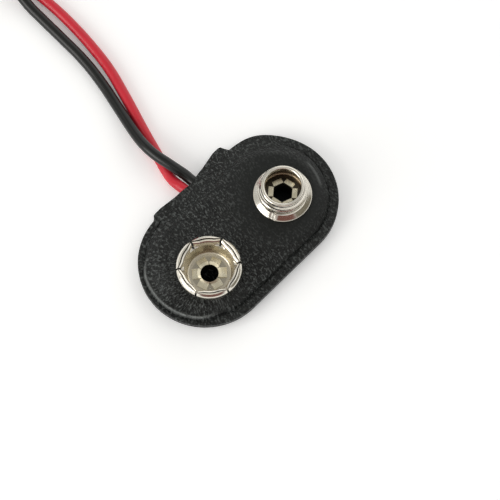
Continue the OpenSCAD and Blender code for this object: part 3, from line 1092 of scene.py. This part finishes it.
def dent_flare(bm, stud):
    """Dents the flare at one place."""
    half, core, rough_size = 0.17, 0.08, 0.16 * MM
    top = stud.flare + 0.1 * MM
    for vert in bm.verts:
        off = abs(turn_between(plan_angle(vert.co), stud.nick_turn))
        reach = vert.co.xy.length
        if off < half and reach > stud.neck - stud.sheet / 2 and 0 < vert.co.z < top:
            rough = 0.5 + 1.4 * noise.noise(vert.co / rough_size)
            vert.co.xy *= 1 - stud.nick_depth * (1 - smooth_step(core, half, off)) * rough / reach


class SNAP_OT_stud(bpy.types.Operator):
    """Turns the hollow stud"""

    bl_idname = "snap.stud"
    bl_label = "Stud"

    def execute(self, context):
        stud, rivets = context.scene.snap_stud, context.scene.snap_rivets
        low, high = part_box("stud")
        tall, flange = high.z - low.z, half_width("stud")
        wall = stud.neck - stud.sheet
        bead_out = stud.mouth + 2 * stud.bead
        under = stud.floor - stud.sheet
        step = stud.land - stud.neck
        bm = turned(
            [
                (rivets.hole, under, 0), (wall, under, 0.1 * MM), (wall, 0, 0), (flange, 0, 0.1 * MM),
                (flange, stud.sheet, 0.1 * MM), (flange - 0.07 * MM, stud.sheet, 0.03 * MM),
                (stud.neck, stud.flare, 0.16 * MM), (stud.neck, stud.land_low - step, 0.02 * MM),
                (stud.land, stud.land_low, 0.02 * MM), (stud.land, stud.land_high, 0.05 * MM),
                (stud.ring, stud.land_high + 0.16 * MM, 0.03 * MM),
                (stud.ring, stud.ring_high, 0.06 * MM),
                (bead_out + 0.02 * MM, tall - 1.6 * stud.bead, 0.06 * MM),
                (bead_out, tall, 0.9 * stud.bead), (stud.mouth, tall, 0.9 * stud.bead),
                (stud.mouth, tall - 2 * stud.bead, 0.12 * MM),
                (wall, stud.ring_high - 0.2 * MM, 0.12 * MM), (wall + step, stud.land_high, 0.2 * MM),
                (wall, stud.floor, 0.04 * MM), (rivets.hole, stud.floor, 0),
            ],
            STUD_STEPS,
        )
        dent_flare(bm, stud)
        bmesh.ops.translate(bm, vec=STUD_SPOT + UP * PAD_TOP, verts=bm.verts)
        # Painted reflection and shade inside the stud, its floor darker still as painted shade
        inner_shade_and_reflection = (0.55, 0.47, 0.36)
        finish = nickel(
            "stud_plate", STUD_SPOT, wall + 0.2 * MM, PAD_TOP + stud.ring_high, inner_shade_and_reflection, wall,
            recess_darkness=0.12,
        )
        piece = add_mesh("stud_shell", bm, finish)
        piece.data.set_sharp_from_angle(angle=math.radians(40))
        dress(piece, "nickel_plate", "stud")
        return {"FINISHED"}


def mark_crease(bm, bottom, crest):
    """Marks the bottom of the crease, which is painted dark as shade."""
    crease = bm.verts.layers.float.new("crease")
    near, width = 0.005 * MM, 0.13 * MM
    for vert in bm.verts:
        vert[crease] = abs(vert.co.z - bottom) < near and 0 < crest - vert.co.xy.length < width


def flatten_lips(bm, crown):
    """Makes each petal's lip straighter towards the gripped stud."""
    sector = math.tau / crown.petals
    outer = crown.grip + 0.8 * MM
    for vert in bm.verts:
        reach = vert.co.xy.length
        if vert.co.z > crown.grip_z - 0.02 * MM and reach < outer:
            off = plan_angle(vert.co) % sector - sector / 2
            flat = max(1, (1 - 0.1 * MM / crown.grip) / math.cos(off))
            share = 1 - smooth_step(crown.grip + 0.15 * MM, outer, reach)
            vert.co.xy *= 1 + (flat - 1) * share


def cut_slits(piece, crown, tall, widest, spot):
    """Cuts the slits between the petals."""
    bm = bmesh.new()
    deep = tall - crown.slit_z + PAST
    size = Matrix.Diagonal((widest / 2 + PAST, crown.slit, deep, 1))
    place = Matrix.Translation(((widest * 1.5 + PAST) / 2, 0, crown.slit_z + deep / 2))
    for i in range(crown.petals):
        bar = bmesh.ops.create_cube(bm, size=1)["verts"]
        turn = Matrix.Rotation(math.tau / crown.petals * i, 4, "Z")
        bmesh.ops.transform(bm, matrix=spot @ turn @ place @ size, verts=bar)
    cut(piece, add_mesh("slits", bm))
    clean_cuts(piece)


class SNAP_OT_crown(bpy.types.Operator):
    """Turns the crown and slits it into spring petals"""

    bl_idname = "snap.crown"
    bl_label = "Crown"

    def execute(self, context):
        crown, rivets = context.scene.snap_crown, context.scene.snap_rivets
        low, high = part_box("crown")
        tall, widest = high.z - low.z, half_width("crown")
        inner = crown.foot - crown.sheet
        under = crown.floor - crown.sheet
        crest = widest - 1.4 * crown.curl
        bm = turned(
            [
                (rivets.hole, under, 0), (inner, under, 0.04 * MM),
                (inner, 0, 0.05 * MM), (crown.foot, 0, 0.08 * MM),
                (crown.grip + crown.sheet, crown.skirt, 0.06 * MM), (widest, crown.skirt, 0.07 * MM),
                (widest, tall - 1.1 * crown.curl, 0.1 * MM),
                (widest - 0.28 * MM, tall - 0.04 * MM, 0.08 * MM), (crest, tall, 0.04 * MM),
                (crest - 0.04 * MM, tall - crown.crease, 0), (crest - 0.11 * MM, tall - crown.crease, 0),
                (crest - 0.14 * MM, tall - 0.07 * MM, 0.03 * MM),
                (crown.grip + 0.1 * MM, tall - 0.13 * MM, 0.03 * MM),
                (crown.grip - 0.04 * MM, crown.funnel_z, 0.04 * MM),
                (crown.grip, crown.grip_z, 0.08 * MM),
                (inner + 0.16 * MM, crown.floor + 0.09 * MM, 0.05 * MM), (inner, crown.floor, 0.03 * MM),
                (rivets.hole, crown.floor, 0),
            ],
            CROWN_STEPS,
        )
        mark_crease(bm, tall - crown.crease, crest)
        flatten_lips(bm, crown)
        spot = set_at(CROWN_SPOT + UP * PAD_TOP, crown.turn)
        bmesh.ops.transform(bm, matrix=spot, verts=bm.verts)
        # Painted reflection and shade inside the crown, the floor round the petals darker as painted
        # shade
        inner_shade_and_reflection = (0.58, 0.53, 0.42)
        shaded_radius = rivets.bore + rivets.crown_petal + 0.2 * MM
        finish = nickel(
            "crown_plate", CROWN_SPOT, crown.grip + 0.1 * MM, PAD_TOP + crown.grip_z, inner_shade_and_reflection, shaded_radius,
            recess_darkness=0.7,
        )
        piece = add_mesh("crown_shell", bm, finish)
        cut_slits(piece, crown, tall, widest, spot)
        soften_edges(piece, crown.edge, math.radians(35))
        dress(piece, "nickel_plate", "crown")
        return {"FINISHED"}


def make_rivet(name, rivets, head_z, rest_z, petal, taper, place, finish):
    """Head, tube and petals bent out onto the terminal's floor: sharply, or rolled where they taper."""
    head = half_width("stud_rivet")
    bm = turned(
        [
            (rivets.bore, head_z, 0.05 * MM), (head, head_z, 0.08 * MM),
            (head, head_z + rivets.head_t, 0.04 * MM), (rivets.tube, head_z + rivets.head_t, 0),
            (rivets.tube, rest_z - rivets.split, 0), (rivets.bore, rest_z - rivets.split, 0),
        ],
        rivets.petals * RIVET_STEPS, 3,
    )
    for i in range(rivets.petals):
        bend_petal(bm, rivets, rest_z, petal, taper, math.tau / rivets.petals * i)
    bmesh.ops.transform(bm, matrix=place, verts=bm.verts)
    bmesh.ops.recalc_face_normals(bm, faces=bm.faces)
    piece = add_mesh(name, bm, finish)
    open_mouth(piece, rivets, rest_z, taper, place)
    piece.data.set_sharp_from_angle(angle=math.radians(30))
    return piece


def open_mouth(piece, rivets, rest_z, taper, place):
    """Cuts the bore's mouth: straight along each petal, or widening upwards where the petals taper."""
    bm = bmesh.new()
    if taper:
        radii = rivets.bore - 0.02 * MM, rivets.bore + 2 * rivets.petal_t
        cone(bm, place, rest_z + 0.05 * MM, rest_z + 0.24 * MM, radii, 96)
    else:
        corner = (rivets.bore + rivets.back) / math.cos(math.pi / rivets.petals)
        cone(bm, place, rest_z - rivets.petal_t, rest_z + 2 * PAST, (corner, corner), rivets.petals)
    cut(piece, add_mesh("mouth", bm))
    clean_cuts(piece)


def bend_petal(bm, rivets, rest_z, petal, taper, middle):
    """Raises one share of the tube's end and bends it outwards."""
    half = math.pi / rivets.petals - math.asin(rivets.gap / 2 / rivets.bore)
    end_z = rest_z - rivets.split
    top = [
        f for f in bm.faces
        if f.normal.z > 0.9 and abs(f.calc_center_median().z - end_z) < 0.01 * MM
        and abs(off_middle(f.calc_center_median(), middle)) < half
    ]
    for rise in (rivets.split, rivets.petal_t):
        raised, lifted = draw_out(bm, top)
        bmesh.ops.translate(bm, vec=UP * rise, verts=lifted)
        top = [g for g in raised if isinstance(g, bmesh.types.BMFace)]
    bm.normal_update()
    sides = [
        f for f in bm.faces
        if abs(f.normal.z) < 0.1 and f.calc_center_median().z > rest_z
        and abs(off_middle(f.calc_center_median(), middle)) < half
        and f.calc_center_median().xy.length > rivets.bore + 0.6 * (rivets.tube - rivets.bore)
        and f.normal.dot(flat_way(middle)) > 0.5
    ]
    reach = rivets.bore + rivets.back + petal
    for vert in draw_out(bm, sides)[1]:
        vert.co += flat_way(middle) * (reach - vert.co.dot(flat_way(middle)))
        if vert.co.z > rest_z + rivets.petal_t / 2:
            vert.co.z -= taper


def draw_out(bm, faces):
    """Extrudes faces, leaves none behind, and gives what was made and its vertices."""
    made = bmesh.ops.extrude_face_region(bm, geom=faces)["geom"]
    bmesh.ops.delete(bm, geom=faces, context="FACES")
    return made, [g for g in made if isinstance(g, bmesh.types.BMVert)]


def off_middle(point, middle):
    """Angle of a point from a petal's middle."""
    return turn_between(plan_angle(point), middle)


class SNAP_OT_rivets(bpy.types.Operator):
    """Makes the two tubular rivets with their split ends"""

    bl_idname = "snap.rivets"
    bl_label = "Rivets"

    def execute(self, context):
        scene = context.scene
        rivets = scene.snap_rivets
        for name, spot, shell, petal, taper, turn in (
            ("stud", STUD_SPOT, scene.snap_stud, rivets.stud_petal, 0, rivets.stud_turn),
            ("crown", CROWN_SPOT, scene.snap_crown, rivets.crown_petal, rivets.taper, rivets.crown_turn),
        ):
            low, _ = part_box(f"{name}_rivet")
            rest_z = PAD_TOP + shell.floor
            finish = rivet_plate(f"{name}_rivet_plate", spot, rivets.tube, rest_z)
            place = set_at(spot, turn)
            piece = make_rivet(f"{name}_split_rivet", rivets, low.z, rest_z, petal, taper, place, finish)
            dress(piece, "rivet_plate", f"{name}_rivet")
        return {"FINISHED"}


class SNAP_OT_inside(bpy.types.Operator):
    """Gives the pieces inside the pad their finishes"""

    bl_idname = "snap.inside"
    bl_label = "Inside"

    def execute(self, context):
        copper = wire_metal("copper_strands", (0.5, 0.22, 0.11), (0.8, 0.42, 0.24), 0.25)
        solder = wire_metal("solder_joint", (0.45, 0.45, 0.44), (0.7, 0.7, 0.68), 0.3)
        for finish, *nodes in (
            (fibre_card(), "insulator_card"),
            (copper, "red_strands", "black_strands"),
            (solder, "red_solder", "black_solder"),
        ):
            for node in nodes:
                slots = frame["nodes"][node].data.materials
                slots.clear()
                slots.append(finish)
        return {"FINISHED"}


class SNAP_PT_panel(bpy.types.Panel):
    """Lists the steps that make the battery snap"""

    bl_label = "Battery Snap"
    bl_idname = "SNAP_PT_panel"
    bl_space_type = "VIEW_3D"
    bl_region_type = "UI"
    bl_category = "Snap"

    def draw(self, context):
        for step in STEPS:
            self.layout.operator(step.bl_idname)


STEPS = (
    SNAP_OT_stage, SNAP_OT_leads, SNAP_OT_covers, SNAP_OT_stud, SNAP_OT_crown, SNAP_OT_rivets,
    SNAP_OT_inside,
)
SETTINGS = {
    "snap_pad": PadSettings,
    "snap_stud": StudSettings,
    "snap_crown": CrownSettings,
    "snap_rivets": RivetSettings,
    "snap_leads": LeadSettings,
    "snap_stage": StageSettings,
}


def register():
    """Registers the settings, steps and panel."""
    for made in (*SETTINGS.values(), *STEPS, SNAP_PT_panel):
        bpy.utils.register_class(made)
    for name, group in SETTINGS.items():
        setattr(bpy.types.Scene, name, PointerProperty(type=group))


def unregister():
    """Takes the settings, steps and panel away again."""
    for name in SETTINGS:
        delattr(bpy.types.Scene, name)
    for made in reversed((*SETTINGS.values(), *STEPS, SNAP_PT_panel)):
        bpy.utils.unregister_class(made)


def main():
    """Makes everything in order."""
    register()
    for step in STEPS:
        group, name = step.bl_idname.split(".")
        getattr(getattr(bpy.ops, group), name)()


if __name__ == "__main__":
    main()
